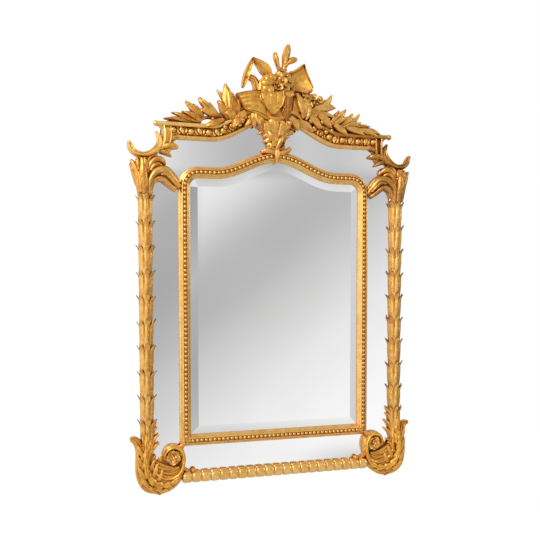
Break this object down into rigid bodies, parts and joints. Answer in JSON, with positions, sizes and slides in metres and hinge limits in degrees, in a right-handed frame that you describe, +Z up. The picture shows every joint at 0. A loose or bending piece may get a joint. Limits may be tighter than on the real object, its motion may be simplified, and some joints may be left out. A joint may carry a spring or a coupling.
{
  "type": "cushion mirror",
  "caption": "Tall wall mirror: a bevelled plate in a pearled inner frame, mirror margins round it, and a gilt carved outer frame with pilasters, corner scrolls and a basket crest.",
  "frame": {"origin": "on the wall face of the upper back rail, in the middle of the width, 1.06 m above the lowest tips", "axes": "+X to the viewer's right, +Y into the wall, +Z up"},
  "size_m": [0.9792, 0.0833, 1.4688],
  "materials": {
    "gilt_moulding": "gilded over gesso, satin, rubbed to brown in the recesses",
    "gilt_ornament": "gilded carved ornament, warm gold with dark recesses",
    "gilt_burnished": "gilded and burnished on the high points",
    "carcass_wood": "sawn softwood, darkened with age",
    "panel_wood": "thin planed boards, darkened with age",
    "dowel_wood": "turned hardwood dowel",
    "mirror_plate": "silvered mirror plate",
    "hanger_iron": "blackened steel",
    "screw_steel": "plain steel"
  },
  "bodies": {
    "frame_body": {"back_left_stile": "carcass_wood", "back_right_stile": "carcass_wood", "back_bottom_rail": "carcass_wood", "back_top_rail": "carcass_wood", "back_panel": "panel_wood", "crest_board": "carcass_wood", "crest_dowels": "dowel_wood", "centre_plate": "mirror_plate", "left_margin_plate": "mirror_plate", "right_margin_plate": "mirror_plate", "bottom_margin_plate": "mirror_plate", "top_left_margin_plate": "mirror_plate", "top_right_margin_plate": "mirror_plate", "inner_left_moulding": "gilt_moulding", "inner_right_moulding": "gilt_moulding", "inner_bottom_moulding": "gilt_moulding", "inner_top_moulding": "gilt_moulding", "left_pearls": "gilt_burnished", "right_pearls": "gilt_burnished", "bottom_pearls": "gilt_burnished", "top_pearls": "gilt_burnished", "left_pilaster": "gilt_moulding", "right_pilaster": "gilt_moulding", "left_pilaster_leaves": "gilt_ornament", "right_pilaster_leaves": "gilt_ornament", "bottom_rail": "gilt_moulding", "top_rail": "gilt_moulding", "left_berry_band": "gilt_burnished", "right_berry_band": "gilt_burnished", "left_corner_scroll": "gilt_moulding", "right_corner_scroll": "gilt_moulding", "left_capital": "gilt_ornament", "right_capital": "gilt_ornament", "left_bracket": "gilt_ornament", "right_bracket": "gilt_ornament", "left_foot_scroll": "gilt_moulding", "right_foot_scroll": "gilt_moulding", "left_rosette": "gilt_burnished", "right_rosette": "gilt_burnished", "left_foot_leaves": "gilt_ornament", "right_foot_leaves": "gilt_ornament", "left_spray": "gilt_ornament", "right_spray": "gilt_ornament", "centre_bracket": "gilt_ornament", "crest_basket": "gilt_ornament", "crest_bouquet": "gilt_ornament", "crest_drape": "gilt_ornament", "crest_left_sheet": "gilt_ornament", "crest_right_sheet": "gilt_ornament", "crest_shield": "gilt_ornament", "crest_sprig": "gilt_ornament", "crest_left_leaves": "gilt_ornament", "crest_right_leaves": "gilt_ornament", "left_hanger": "hanger_iron", "right_hanger": "hanger_iron", "frame_screws": "screw_steel", "hanger_screws": "screw_steel"},
    "left_ring": {"left_ring": "hanger_iron"},
    "right_ring": {"right_ring": "hanger_iron"}
  },
  "joints": [
    {"name": "left_ring_swing", "type": "hinge", "parent": "frame_body", "child": "left_ring", "pos_m": [-0.37, -0.0053, -0.114], "axis": [1, 0, 0], "range_deg": [0, 175]},
    {"name": "right_ring_swing", "type": "hinge", "parent": "frame_body", "child": "right_ring", "pos_m": [0.37, -0.0053, -0.114], "axis": [1, 0, 0], "range_deg": [0, 175]}
  ]
}
